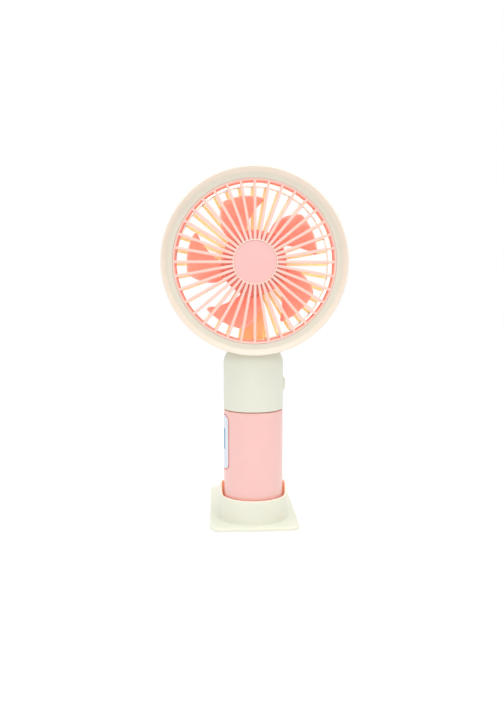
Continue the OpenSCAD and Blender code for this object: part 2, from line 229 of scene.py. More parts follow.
def plastic(name, col, col2=None, rough=0.42, rough_var=0.08, grain=0.35, grain_mm=0.28, blotch=0.5, sss=0.06, coat=0.0, wear=0.5, sss_mm=0.8, metal=0.0, spec=0.5, extra=None):
    """Moulded plastic: flow variation in the colour, spark-eroded grain in the bump, polished and paler edges."""
    m = bpy.data.materials.new(name); m.use_nodes = True
    nt = m.node_tree; nt.nodes.clear(); L = nt.links.new
    out = nd(nt, "ShaderNodeOutputMaterial"); bs = nd(nt, "ShaderNodeBsdfPrincipled"); L(bs.outputs[0], out.inputs[0])
    tc = nd(nt, "ShaderNodeTexCoord")
    c1 = col; c2 = col2 or tuple(min(1, v * f) for v, f in zip(col[:3], (0.985, 0.965, 0.95))) + (1.0,)
    # slow flow variation
    n1 = nd(nt, "ShaderNodeTexNoise"); n1.inputs["Scale"].default_value = 60; n1.inputs["Detail"].default_value = 4; n1.inputs["Roughness"].default_value = 0.55; n1.inputs["Distortion"].default_value = 0.6
    L(tc.outputs["Object"], n1.inputs["Vector"])
    r1 = nd(nt, "ShaderNodeMapRange"); r1.inputs["From Min"].default_value = 0.35; r1.inputs["From Max"].default_value = 0.68; r1.inputs["To Max"].default_value = blotch
    L(n1.outputs[0], r1.inputs["Value"])
    mx = nd(nt, "ShaderNodeMix", data_type="RGBA"); mx.inputs["A"].default_value = c1; mx.inputs["B"].default_value = c2
    L(r1.outputs[0], mx.inputs["Factor"])
    # fine speckle of the pigment
    n2 = nd(nt, "ShaderNodeTexNoise"); n2.inputs["Scale"].default_value = 1 / (grain_mm * MM) * 0.5; n2.inputs["Detail"].default_value = 3
    L(tc.outputs["Object"], n2.inputs["Vector"])
    r2 = nd(nt, "ShaderNodeMapRange"); r2.inputs["From Min"].default_value = 0.3; r2.inputs["From Max"].default_value = 0.7; r2.inputs["To Min"].default_value = 0.985; r2.inputs["To Max"].default_value = 1.012
    L(n2.outputs[0], r2.inputs["Value"])
    sp = nd(nt, "ShaderNodeVectorMath", operation="SCALE"); L(mx.outputs["Result"], sp.inputs[0]); L(r2.outputs[0], sp.inputs["Scale"])
    # rubbed edges
    geo = nd(nt, "ShaderNodeNewGeometry")
    r3 = nd(nt, "ShaderNodeMapRange"); r3.inputs["From Min"].default_value = 0.52; r3.inputs["From Max"].default_value = 0.62; r3.inputs["To Max"].default_value = wear
    L(geo.outputs["Pointiness"], r3.inputs["Value"])
    n4 = nd(nt, "ShaderNodeTexNoise"); n4.inputs["Scale"].default_value = 700; n4.inputs["Detail"].default_value = 5
    L(tc.outputs["Object"], n4.inputs["Vector"])
    mw = nd(nt, "ShaderNodeMath", operation="MULTIPLY"); L(r3.outputs[0], mw.inputs[0]); L(n4.outputs[0], mw.inputs[1])
    mx2 = nd(nt, "ShaderNodeMix", data_type="RGBA"); mx2.inputs["B"].default_value = tuple(min(1, v * 1.03 + 0.02) for v in col[:3]) + (1,)
    L(mw.outputs[0], mx2.inputs["Factor"]); L(sp.outputs[0], mx2.inputs["A"])
    colout = mx2.outputs["Result"]
    if extra: colout = extra(nt, tc, colout)
    L(colout, bs.inputs["Base Color"])
    # roughness: handling polish in broad patches, lower on edges
    r4 = nd(nt, "ShaderNodeMapRange"); r4.inputs["From Min"].default_value = 0.3; r4.inputs["From Max"].default_value = 0.7; r4.inputs["To Min"].default_value = rough - rough_var; r4.inputs["To Max"].default_value = rough + rough_var
    L(n1.outputs[0], r4.inputs["Value"])
    rs = nd(nt, "ShaderNodeMath", operation="SUBTRACT"); rs.use_clamp = True
    r5 = nd(nt, "ShaderNodeMath", operation="MULTIPLY"); r5.inputs[1].default_value = 0.25
    L(mw.outputs[0], r5.inputs[0]); L(r4.outputs[0], rs.inputs[0]); L(r5.outputs[0], rs.inputs[1])
    L(rs.outputs[0], bs.inputs["Roughness"])
    # grain
    vo = nd(nt, "ShaderNodeTexVoronoi"); vo.inputs["Scale"].default_value = 1 / (grain_mm * MM)
    L(tc.outputs["Object"], vo.inputs["Vector"])
    ad = nd(nt, "ShaderNodeMath", operation="ADD"); L(vo.outputs["Distance"], ad.inputs[0]); L(n2.outputs[0], ad.inputs[1])
    bp = nd(nt, "ShaderNodeBump"); bp.inputs["Strength"].default_value = grain; bp.inputs["Distance"].default_value = 0.00003
    L(ad.outputs[0], bp.inputs["Height"])
    L(bp.outputs[0], bs.inputs["Normal"])
    bs.inputs["Subsurface Weight"].default_value = sss
    bs.inputs["Subsurface Radius"].default_value = (1.0, 0.7, 0.5)
    bs.inputs["Subsurface Scale"].default_value = sss_mm * MM
    bs.inputs["Coat Weight"].default_value = coat
    bs.inputs["Coat Roughness"].default_value = 0.12
    bs.inputs["Metallic"].default_value = metal
    bs.inputs["Specular IOR Level"].default_value = spec
    return m

def metal(name, col, rough=0.3, brush_axis=None, scale=900, aniso=0.0):
    m = bpy.data.materials.new(name); m.use_nodes = True
    nt = m.node_tree; nt.nodes.clear(); L = nt.links.new
    out = nd(nt, "ShaderNodeOutputMaterial"); bs = nd(nt, "ShaderNodeBsdfPrincipled"); L(bs.outputs[0], out.inputs[0])
    tc = nd(nt, "ShaderNodeTexCoord"); mp = nd(nt, "ShaderNodeMapping"); L(tc.outputs["Object"], mp.inputs["Vector"])
    s = [1.0, 1.0, 1.0]
    if brush_axis is not None: s[brush_axis] = 0.04
    mp.inputs["Scale"].default_value = s
    n1 = nd(nt, "ShaderNodeTexNoise"); n1.inputs["Scale"].default_value = scale * 3; n1.inputs["Detail"].default_value = 5; L(mp.outputs[0], n1.inputs["Vector"])
    n2 = nd(nt, "ShaderNodeTexNoise"); n2.inputs["Scale"].default_value = 150; n2.inputs["Detail"].default_value = 4; L(tc.outputs["Object"], n2.inputs["Vector"])
    mx = nd(nt, "ShaderNodeMix", data_type="RGBA"); mx.inputs["A"].default_value = col; mx.inputs["B"].default_value = tuple(v * 0.72 for v in col[:3]) + (1,)
    L(n2.outputs[0], mx.inputs["Factor"]); L(mx.outputs["Result"], bs.inputs["Base Color"])
    r = nd(nt, "ShaderNodeMapRange"); r.inputs["To Min"].default_value = rough * 0.7; r.inputs["To Max"].default_value = rough * 1.4; L(n1.outputs[0], r.inputs["Value"]); L(r.outputs[0], bs.inputs["Roughness"])
    bp = nd(nt, "ShaderNodeBump"); bp.inputs["Strength"].default_value = 0.25; bp.inputs["Distance"].default_value = 0.00001; L(n1.outputs[0], bp.inputs["Height"]); L(bp.outputs[0], bs.inputs["Normal"])
    bs.inputs["Metallic"].default_value = 1.0
    return m

M = {}
M["cream"] = plastic("cream_neck", srgb(226, 227, 212), rough=0.46, grain=0.35)

def bore_painted_bounce_light(nt, tc, col):
    """Painted light: the cup's bore is painted the handle's warm pink from a little above the plate upward, standing in
    for the pink light the handle bounces into the narrow gap.
    """
    L = nt.links.new
    sx = nd(nt, "ShaderNodeSeparateXYZ"); L(tc.outputs["Object"], sx.inputs[0])
    cx = nd(nt, "ShaderNodeCombineXYZ"); L(sx.outputs["X"], cx.inputs[0]); L(sx.outputs["Y"], cx.inputs[1])
    ln = nd(nt, "ShaderNodeVectorMath", operation="LENGTH"); L(cx.outputs[0], ln.inputs[0])
    r = nd(nt, "ShaderNodeMapRange"); r.inputs["From Min"].default_value = 0.01735; r.inputs["From Max"].default_value = 0.01715; L(ln.outputs["Value"], r.inputs["Value"])
    z = nd(nt, "ShaderNodeMapRange"); z.inputs["From Min"].default_value = 0.0022; z.inputs["From Max"].default_value = 0.0060; L(sx.outputs["Z"], z.inputs["Value"])
    m = nd(nt, "ShaderNodeMath", operation="MULTIPLY"); L(r.outputs[0], m.inputs[0]); L(z.outputs[0], m.inputs[1])
    mx = nd(nt, "ShaderNodeMix", data_type="RGBA"); mx.inputs["B"].default_value = srgb(255, 196, 160)
    L(m.outputs[0], mx.inputs["Factor"]); L(col, mx.inputs["A"])
    return mx.outputs["Result"]
# the stand's bore carries painted pink bounce light
M["stand"] = plastic("cream_stand", srgb(230, 231, 215), rough=0.42, grain=0.30, sss=0.3, sss_mm=2.0, extra=bore_painted_bounce_light)

def lip_painted_light(nt, tc, col):
    """Painted light: the ring's raised lip is painted a touch warmer and lighter than its flat, standing in for the
    light the lip catches.
    """
    L = nt.links.new
    ps = nd(nt, "ShaderNodeSeparateXYZ"); L(tc.outputs["Object"], ps.inputs[0])
    zc = nd(nt, "ShaderNodeMath", operation="SUBTRACT"); L(ps.outputs["Z"], zc.inputs[0]); zc.inputs[1].default_value = HZ * MM
    cx = nd(nt, "ShaderNodeCombineXYZ"); L(ps.outputs["X"], cx.inputs[0]); L(zc.outputs[0], cx.inputs[1])
    ln = nd(nt, "ShaderNodeVectorMath", operation="LENGTH"); L(cx.outputs[0], ln.inputs[0])
    r = nd(nt, "ShaderNodeMapRange"); r.inputs["From Min"].default_value = 0.0440; r.inputs["From Max"].default_value = 0.0453; L(ln.outputs["Value"], r.inputs["Value"])
    mx = nd(nt, "ShaderNodeMix", data_type="RGBA"); mx.inputs["B"].default_value = srgb(236, 224, 208)
    L(r.outputs[0], mx.inputs["Factor"]); L(col, mx.inputs["A"])
    return mx.outputs["Result"]
# the bezel's raised lip is painted lighter as painted light
M["bezel"] = plastic("cream_bezel", srgb(224, 217, 201), rough=0.45, grain=0.30, extra=lip_painted_light)
M["pink"] = plastic("pink_handle", srgb(243, 196, 190), rough=0.36, grain=0.15, coat=0.15, sss=0.3, sss_mm=2.0)
M["cap"] = plastic("pink_hub_cap", srgb(245, 191, 187), rough=0.44, grain=0.25)

def grille_painted_shade_and_highlight(nt, tc, col):
    """Painted shade: below the top faces of the bars (their sides and the rim wall) the pink is painted coral, standing
    in for the shade and coral bounce light there.
    """
    L = nt.links.new
    ps = nd(nt, "ShaderNodeSeparateXYZ"); L(tc.outputs["Object"], ps.inputs[0])
    zc = nd(nt, "ShaderNodeMath", operation="SUBTRACT"); L(ps.outputs["Z"], zc.inputs[0]); zc.inputs[1].default_value = HZ * MM
    cx = nd(nt, "ShaderNodeCombineXYZ"); L(ps.outputs["X"], cx.inputs[0]); L(zc.outputs[0], cx.inputs[1])
    ln = nd(nt, "ShaderNodeVectorMath", operation="LENGTH"); L(cx.outputs[0], ln.inputs[0])
    top = nd(nt, "ShaderNodeMapRange"); top.inputs["From Min"].default_value = 0.01095; top.inputs["From Max"].default_value = 0.0410; top.inputs["To Min"].default_value = 0.01832; top.inputs["To Max"].default_value = 0.01682; L(ln.outputs["Value"], top.inputs["Value"])
    dp = nd(nt, "ShaderNodeMath", operation="ADD"); L(top.outputs[0], dp.inputs[0]); L(ps.outputs["Y"], dp.inputs[1])
    r = nd(nt, "ShaderNodeMapRange"); r.inputs["From Min"].default_value = 0.00035; r.inputs["From Max"].default_value = 0.0013; L(dp.outputs[0], r.inputs["Value"])
    rim = nd(nt, "ShaderNodeMapRange"); rim.inputs["From Min"].default_value = 0.01125; rim.inputs["From Max"].default_value = 0.01145; L(ln.outputs["Value"], rim.inputs["Value"])
    m = nd(nt, "ShaderNodeMath", operation="MULTIPLY"); L(r.outputs[0], m.inputs[0]); L(rim.outputs[0], m.inputs[1])
    # painted highlight: the bead round the hub cap is painted paler
    hb = nd(nt, "ShaderNodeMapRange"); hb.inputs["From Min"].default_value = 0.01150; hb.inputs["From Max"].default_value = 0.01135; L(ln.outputs["Value"], hb.inputs["Value"])
    pale = nd(nt, "ShaderNodeMix", data_type="RGBA"); pale.inputs["B"].default_value = srgb(255, 226, 212); L(hb.outputs[0], pale.inputs["Factor"]); L(col, pale.inputs["A"])
    mx = nd(nt, "ShaderNodeMix", data_type="RGBA"); mx.inputs["B"].default_value = srgb(252, 160, 140)
    L(m.outputs[0], mx.inputs["Factor"]); L(pale.outputs["Result"], mx.inputs["A"])
    return mx.outputs["Result"]
# the grille's coral bar sides are painted shade, its pale hub bead a painted highlight
M["grille"] = plastic("pink_grille", srgb(252, 206, 194), rough=0.36, grain=0.15, sss=0.15, coat=0.1, extra=grille_painted_shade_and_highlight)
def hub_painted_shade(nt, tc, col):
    """Painted shade: the wheel's hub is painted a deeper coral, standing in for the shade behind the guard's hub."""
    L = nt.links.new
    ps = nd(nt, "ShaderNodeSeparateXYZ"); L(tc.outputs["Object"], ps.inputs[0])
    zc = nd(nt, "ShaderNodeMath", operation="SUBTRACT"); L(ps.outputs["Z"], zc.inputs[0]); zc.inputs[1].default_value = HZ * MM
    cx = nd(nt, "ShaderNodeCombineXYZ"); L(ps.outputs["X"], cx.inputs[0]); L(zc.outputs[0], cx.inputs[1])
    ln = nd(nt, "ShaderNodeVectorMath", operation="LENGTH"); L(cx.outputs[0], ln.inputs[0])
    r = nd(nt, "ShaderNodeMapRange"); r.inputs["From Min"].default_value = 0.0190; r.inputs["From Max"].default_value = 0.0165; L(ln.outputs["Value"], r.inputs["Value"])
    mx = nd(nt, "ShaderNodeMix", data_type="RGBA"); mx.inputs["B"].default_value = srgb(232, 138, 122)
    L(r.outputs[0], mx.inputs["Factor"]); L(col, mx.inputs["A"])
    return mx.outputs["Result"]
# the impeller's hub is painted shade
M["coral"] = plastic("coral_impeller", srgb(250, 166, 148), srgb(250, 158, 138), rough=0.34, grain=0.12, sss=0.6, coat=0.15, sss_mm=1.5, extra=hub_painted_shade)

def set_mat(ob, m):
    ob.data.materials.clear(); ob.data.materials.append(m)
    return ob

def piece(ob, body, slot, *reps, mat=None):
    if mat: set_mat(ob, mat)
    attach(ob, body)
    if reps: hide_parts(*reps)
    return ob

# ---------------------------------------------------------------- stand
def ramp(y):
    t = max(0.0, min(1.0, (y + 6) / 9))
    return 15.3 + (CUP_BACK - 15.3) * t * t * (3 - 2 * t)

def make_stand():
    ztop, zb = 2.1, 0.3
    # plate: rounded slab with a soft top edge and a small lower edge
    outl = rounded([(SX0, SY0, 6), (SX1, SY0, 6), (SX1, SY1, 6), (SX0, SY1, 6)], True, 14)
    def inset(pts, d):
        n = len(pts); res = []
        for i in range(n):
            a, b, c = Vector(pts[i - 1]), Vector(pts[i]), Vector(pts[(i + 1) % n])
            t = (c - a).normalized(); nrm = Vector((-t.y, t.x))
            res.append(tuple(b + nrm * d))
        return res
    levels = [(0.25, zb), (0.08, zb + 0.07), (0.0, zb + 0.25)]
    R = 0.75
    for k in range(0, 7):
        a = pi / 2 * k / 6
        levels.append((R * (1 - cos(a)), ztop - R + R * sin(a)))
    verts, n = [], len(outl)
    for d, z in levels:
        verts += [(x, y, z) for x, y in inset(outl, d)]
    faces = [tuple(range(n))[::-1]]
    for l in range(len(levels) - 1):
        for k in range(n):
            faces.append((l * n + k, l * n + (k + 1) % n, (l + 1) * n + (k + 1) % n, (l + 1) * n + k))
    faces.append(tuple(range((len(levels) - 1) * n, len(levels) * n)))
    plate = new_obj("plate", verts, faces, 30)
    # recess for the pad
    rec = prism("rec", rrect(SX1 - SX0 - 8, SY1 - SY0 - 8, 3, 8, 0, (SY0 + SY1) / 2), -1, 0.8, lambda u, v, w: (u, v, w))
    boolean(plate, rec)
    # cup: the rim's height changes round it
    ri, ro, segs = 17.05, 18.2, 288
    prof_n = 0; rows = []
    for s in range(segs):
        a = 2 * pi * s / segs
        ca, sa = cos(a), sin(a)
        h = ramp(ro * sa)
        col = []
        # outside, from under the plate up through the fillet
        col.append((ro + 1.0, 1.2)); col.append((ro + 1.0, ztop))
        for k in range(1, 8):
            q = pi / 2 * k / 7
            col.append((ro + 1.0 - 1.0 * sin(q), ztop + 1.0 - 1.0 * cos(q)))
        col += [(ro, ztop + 1.0 + (h - 0.45 - ztop - 1.0) * t) for t in (0.25, 0.5, 0.75)]
        e = 0.45
        for k in range(0, 6):
            q = pi / 2 * k / 5
            col.append((ro - e + e * cos(q), h - e + e * sin(q)))
        for k in range(0, 6):
            q = pi / 2 * (1 - k / 5)
            col.append((ri + e - e * cos(q), h - e + e * sin(q)))
        col += [(ri, h - 0.45 + (ztop + 0.5 - h + 0.45) * t) for t in (0.33, 0.66)]
        col.append((ri, ztop + 0.35)); col.append((ri - 0.12, ztop + 0.1)); col.append((ri - 0.5, ztop)); col.append((ri - 0.5, 1.2))
        rows.append([(r * ca, r * sa, z) for r, z in col]); prof_n = len(col)
    verts = [p for row in rows for p in row]; faces = []
    for s in range(segs):
        s2 = (s + 1) % segs
        for k in range(prof_n):
            k2 = (k + 1) % prof_n
            faces.append((s * prof_n + k, s2 * prof_n + k, s2 * prof_n + k2, s * prof_n + k2))
    cup = new_obj("cup", verts, faces, 40)
    boolean(plate, cup, "UNION")
    plate.name = "stand_moulding"
    shade(plate, 28)
    return plate

piece(make_stand(), "stand", "stand_plastic", "stand", mat=M["stand"])

# ---------------------------------------------------------------- handle
def label_cutter(grow, r1, r2):
    ang = radians(-195)
    outl = rrect(22.4 + 2 * grow, 28.8 + 2 * grow, 3 + grow, 10, 0, 44.2)
    def place(u, v, w):
        return (w * cos(ang) - u * sin(ang), w * sin(ang) + u * cos(ang), v)
    pr = prism("lp", outl, 5, 20, place)
    rg = lathe("lr", [(r1, 22), (r2, 22), (r2, 61), (r1, 61)], 384)
    return boolean(rg, pr, "INTERSECT")

tube = lathe("handle_sleeve", rounded([(HR - 1.5, 4.4, 0), (HR, 4.4, 0.25), (HR, HTOP, 0.55), (HR - 1.5, HTOP, 0.2)], True, 6), 384)
boolean(tube, label_cutter(0.7, HR - 0.10, HR + 2))
groove = label_cutter(0.7, HR - 0.4, HR + 2)
boolean(groove, label_cutter(-0.15, HR - 1, HR + 3))
boolean(tube, groove)
clean(tube)
shade(tube, 30)
def groove_painted_shade(nt, tc, col):
    """Painted shade: under the surface (in the label's seat, its groove and, fainter, round the top edge at the seam)
    the sleeve is painted coral, standing in for the shade there.
    """
    L = nt.links.new
    sx = nd(nt, "ShaderNodeSeparateXYZ"); L(tc.outputs["Object"], sx.inputs[0])
    cx = nd(nt, "ShaderNodeCombineXYZ"); L(sx.outputs["X"], cx.inputs[0]); L(sx.outputs["Y"], cx.inputs[1])
    ln = nd(nt, "ShaderNodeVectorMath", operation="LENGTH"); L(cx.outputs[0], ln.inputs[0])
    r = nd(nt, "ShaderNodeMapRange"); r.inputs["From Min"].default_value = (HR - 0.03) * MM; r.inputs["From Max"].default_value = (HR - 0.07) * MM; L(ln.outputs["Value"], r.inputs["Value"])
    z = nd(nt, "ShaderNodeMapRange"); z.inputs["From Min"].default_value = (HTOP - 1.2) * MM; z.inputs["From Max"].default_value = (HTOP - 0.6) * MM; z.inputs["To Min"].default_value = 1.0; z.inputs["To Max"].default_value = 0.4; L(sx.outputs["Z"], z.inputs["Value"])
    m = nd(nt, "ShaderNodeMath", operation="MULTIPLY"); L(r.outputs[0], m.inputs[0]); L(z.outputs[0], m.inputs[1])
    mx = nd(nt, "ShaderNodeMix", data_type="RGBA"); mx.inputs["B"].default_value = srgb(246, 136, 112)
    L(m.outputs[0], mx.inputs["Factor"]); L(col, mx.inputs["A"])
    return mx.outputs["Result"]
# the sleeve's coral in its groove and seam is painted shade
M["sleeve_pink"] = plastic("pink_sleeve", srgb(243, 196, 190), rough=0.36, grain=0.15, coat=0.15, sss=0.3, sss_mm=2.0, extra=groove_painted_shade)
piece(tube, "fan", "handle_plastic", "handle_tube", mat=M["sleeve_pink"])

def blue_block(nt, tc, col):
    L = nt.links.new
    sx = nd(nt, "ShaderNodeSeparateXYZ"); L(tc.outputs["Object"], sx.inputs[0])
    def band(sock, lo, hi, soft):
        a = nd(nt, "ShaderNodeMapRange"); a.inputs["From Min"].default_value = lo - soft; a.inputs["From Max"].default_value = lo + soft; L(sock, a.inputs["Value"])
        b = nd(nt, "ShaderNodeMapRange"); b.inputs["From Min"].default_value = hi + soft; b.inputs["From Max"].default_value = hi - soft; L(sock, b.inputs["Value"])
        c = nd(nt, "ShaderNodeMath", operation="MULTIPLY"); L(a.outputs[0], c.inputs[0]); L(b.outputs[0], c.inputs[1]); return c.outputs[0]
    z = band(sx.outputs["Z"], 0.0403, 0.0514, 0.0001); y = band(sx.outputs["Y"], -0.0046, 0.0105, 0.0001)
    mlt = nd(nt, "ShaderNodeMath", operation="MULTIPLY"); L(z, mlt.inputs[0]); L(y, mlt.inputs[1])
    mx = nd(nt, "ShaderNodeMix", data_type="RGBA"); mx.inputs["B"].default_value = srgb(122, 168, 200)
    L(mlt.outputs[0], mx.inputs["Factor"]); L(col, mx.inputs["A"])
    return mx.outputs["Result"]
M["label"] = plastic("label_film", srgb(224, 232, 240), srgb(218, 227, 236), rough=0.5, grain=0.1, grain_mm=0.5, sss=0.0, coat=0.05, wear=0.1, spec=0.3, extra=blue_block)
lab = label_cutter(0.0, HR - 0.10, HR + 0.02)
lab.name = "handle_sticker"; clean(lab, 0.001); shade(lab, 30)
piece(lab, "fan", "label_film", "handle_label", mat=M["label"])

cap = lathe("handle_foot", [(0, 2.3)] + rounded([(0, 2.3, 0), (HR, 2.3, 1.7), (HR, 4.3, 0.15), (HR - 1.6, 4.3, 0), (HR - 1.6, 9.9, 0.3), (HR - 3.1, 9.9, 0.3), (HR - 3.1, 4.3, 0), (0, 4.3, 0)], False, 7)[1:], 256, closed=False)
piece(cap, "fan", "handle_plastic", "handle_end_cap", mat=M["pink"])

# ---------------------------------------------------------------- neck
SH = 10.6; DC = NR - SH; DZ = 86.0
def head_envelope(g):
    return lathe("env", [(0, 19.2 + g), (46, 19.2 + g), (RING_R + g, 19.2), (RING_R + g, 17.6), (46.5 + g, 15.05), (46.3 + g, 8), (45.7 + g, 0), (45 + g, -7), (44.4 + g, -9.8), (43.4 + g, -11.6), (42 + g, -12.6 - g), (0, -12.6 - g)], 384, head=True, closed=False)

def make_neck(side):
    W = 1.6
    prof = rounded([(NR - 1.75, 54.2, 0.3), (NR - 1.75, SEAM, 0), (NR, SEAM, 0.4), (NR, DZ - 2, 0)], False, 6)
    prof = [(NR - 1.75, 54.2)] + prof[1:]
    prof += [(DC + SH * cos(a), DZ + SH * sin(a)) for a in [radians(90 * k / 24) for k in range(0, 24)]]
    prof += [(DC, DZ + SH)]
    prof += [(DC, DZ + SH - W)]
    prof += [(DC + (SH - W) * cos(a), DZ + (SH - W) * sin(a)) for a in [radians(90 * (1 - k / 12)) for k in range(1, 13)]]
    prof += [(NR - W, SEAM + 1.6), (NR - 3.25, SEAM + 1.2), (NR - 3.25, 54.2)]
    ob = lathe("neck", prof, 256)
    boolean(ob, head_envelope(0.06))
    # button hole, port, light and screw holes
    boolean(ob, prism("c", stadium(5.5, 9.0), 10, 22, lambda u, v, w: (w, u, BZ + v)))
    if side > 0:
        boolean(ob, prism("c", stadium(3.7, 9.4), 10, 22, lambda u, v, w: (v, w, 74.73 + u)))
        boolean(ob, prism("c", rounded([(1.25 * cos(2 * pi * k / 32), 1.25 * sin(2 * pi * k / 32), 0) for k in range(32)]), 10, 22, lambda u, v, w: (u, w, 85 + v)))
        for s in (-1, 1):
            boolean(ob, prism("c", [(2 * cos(2 * pi * k / 40), 2 * sin(2 * pi * k / 40)) for k in range(40)], 8, 22, lambda u, v, w: (8.5 * s + u, w, 81.5 + v)))
    y0, y1 = (0.035, 30) if side > 0 else (-30, -0.035)
    boolean(ob, prism("c", [(-30, y0), (30, y0), (30, y1), (-30, y1)], 50, 120, lambda u, v, w: (u, v, w)), "INTERSECT")
    # screw bosses inside, seen through the counterbores
    clean(ob)
    bevel(ob, 0.12, 2, 38, 30)
    if side > 0:
        bosses = []
        for s in (-1, 1):
            b = lathe("boss", [(0.95, 0.2), (2.3, 0.2), (2.3, 11.5), (2.02, 11.5), (2.02, 8.0), (0.95, 8.0)], 48)
            b.data.transform(Matrix.Translation((8.5 * s * MM, 0, 81.5 * MM)) @ Matrix.Rotation(-pi / 2, 4, "X"))
            bosses.append(b)
        ob = join("neck_back", [ob] + bosses, 30)
    ob.name = "neck_back" if side > 0 else "neck_front"
    return ob

piece(make_neck(-1), "fan", "neck_plastic", "neck_front_shell", mat=M["cream"])
piece(make_neck(1), "fan", "neck_plastic", "neck_rear_shell", mat=M["cream"])

# ---------------------------------------------------------------- head: ring, grille, cap
ring_prof = rounded([(41.45, 16.78, 0.12), (44.1, 16.9, 0.5), (46.2, 19.3, 0.9), (46.75, CREST + 0.02, 0.3), (RING_R, CREST - 0.35, 0.5), (RING_R, 17.6, 1.2), (46.85, 16.0, 0.8), (46.55, 15.1, 0.15),
    (44.65, 15.1, 0), (44.65, 11.5, 0.2), (43.3, 11.5, 0.2), (43.3, 14.2, 0), (40.5, 14.2, 0.1), (40.5, 15.6, 0), (41.45, 15.6, 0)], True, 6)
ring = lathe("front_ring", ring_prof, 384, head=True, smooth=32)
piece(ring, "fan", "bezel_plastic", "front_bezel", mat=M["bezel"])

GH = 11.32
def make_grille():
    obs = []
    obs.append(lathe("g0", rounded([(40.75, 16.9, 0.2), (41.35, 16.9, 0.12), (41.35, 15.7, 0), (40.9, 15.5, 0), (40.35, 14.3, 0.15), (39.2, 14.3, 0.3)], True, 4), 384, head=True))
    obs.append(lathe("g1", [(0, 17.75)] + rounded([(0, 17.75, 0), (GH - 0.5, 17.75, 0.05), (GH - 0.5, 18.86, 0.16), (GH, 18.86, 0.22), (GH, 16.2, 0.2), (0, 16.2, 0)], False, 4)[1:], 192, head=True, closed=False))
    for i in range(36):
        a = 2 * pi * i / 36
        u = (cos(a), sin(a)); s = (-sin(a), 0, cos(a))
        p0 = head_pt(10.95 * u[0], 10.95 * u[1], 18.32); p1 = head_pt(41.0 * u[0], 41.0 * u[1], 16.82)
        obs.append(bar("g%d" % (i + 2), p0, p1, 1.5, 1.5, 2.05, 2.0, s, r=0.32, n=3, front=0.06))
    ob = join("front_guard", obs, 32)
    return ob
piece(make_grille(), "fan", "grille_plastic", "front_grille", mat=M["grille"])
hub = lathe("guard_cap", [(0, 18.56)] + rounded([(0, 18.56, 0), (GH - 0.58, 18.56, 0.16), (GH - 0.58, 17.84, 0), (0, 17.84, 0)], False, 5)[1:], 192, head=True, closed=False)
piece(hub, "fan", "hub_cap_plastic", "grille_hub_cap", mat=M["cap"])

# ---------------------------------------------------------------- head: rear housing
def make_cover():
    shell = lathe("h0", rounded([(46.45, 15.0, 0.2), (46.3, 8, 0), (45.7, 0, 0), (45.0, -7, 8), (43.9, -12.38, 2.6), (42.2, -12.4, 0.2), (42.2, -10.5, 0), (41.7, -10.5, 0), (41.7, -9.9, 0.2), (42.5, -9.6, 1.0), (43.3, -7, 3), (44.1, 0, 0), (44.6, 8, 0), (44.8, 15.0, 0.1)], True, 8), 384, head=True)
    col = lathe("hc", rounded([(8.2, 87, 0.2), (9.5, 87, 0.2), (9.5, 93.6, 0), (8.2, 93.6, 0)], True, 3), 96, centre=(0, 2))
    return join("rear_cover", [shell, col], 32)

def make_rear_grille():
    obs = [lathe("r0", rounded([(41, -12.6, 0.3), (42.12, -12.6, 0.25), (42.12, -10.55, 0.1), (41, -10.55, 0.3)], True, 4), 384, head=True)]
    obs.append(lathe("r1", [(0, -12.2)] + rounded([(0, -12.2, 0), (10.6, -12.2, 0.3), (11.0, -12.6, 0.3), (15, -12.6, 0.6), (15, -9.0, 0.3), (6, -9.0, 0.4), (6, -5.5, 0.3), (4.1, -5.5, 0), (4.1, -11.1, 0), (0, -11.1, 0)], False, 5)[1:], 192, head=True, closed=False))
    for i in range(36):
        a = 2 * pi * i / 36
        u = (cos(a), sin(a)); s = (-sin(a), 0, cos(a))
        p0 = head_pt(14.2 * u[0], 14.2 * u[1], -10.75); p1 = head_pt(41.4 * u[0], 41.4 * u[1], -10.75)
        obs.append(bar("r%d" % (i + 2), p0, p1, 1.5, 1.5, 1.75, 1.75, s, r=0.3, n=3))
    obs.append(prism("rd", rounded([(-6, -7.0, 0.7), (6, -7.0, 0.7), (6, -12.5, 0.6), (-6, -12.5, 0.6)], True, 5), -42.6, -14.2, lambda u, v, w: head_pt(u, w, v)))
    return join("rear_guard", obs, 32)

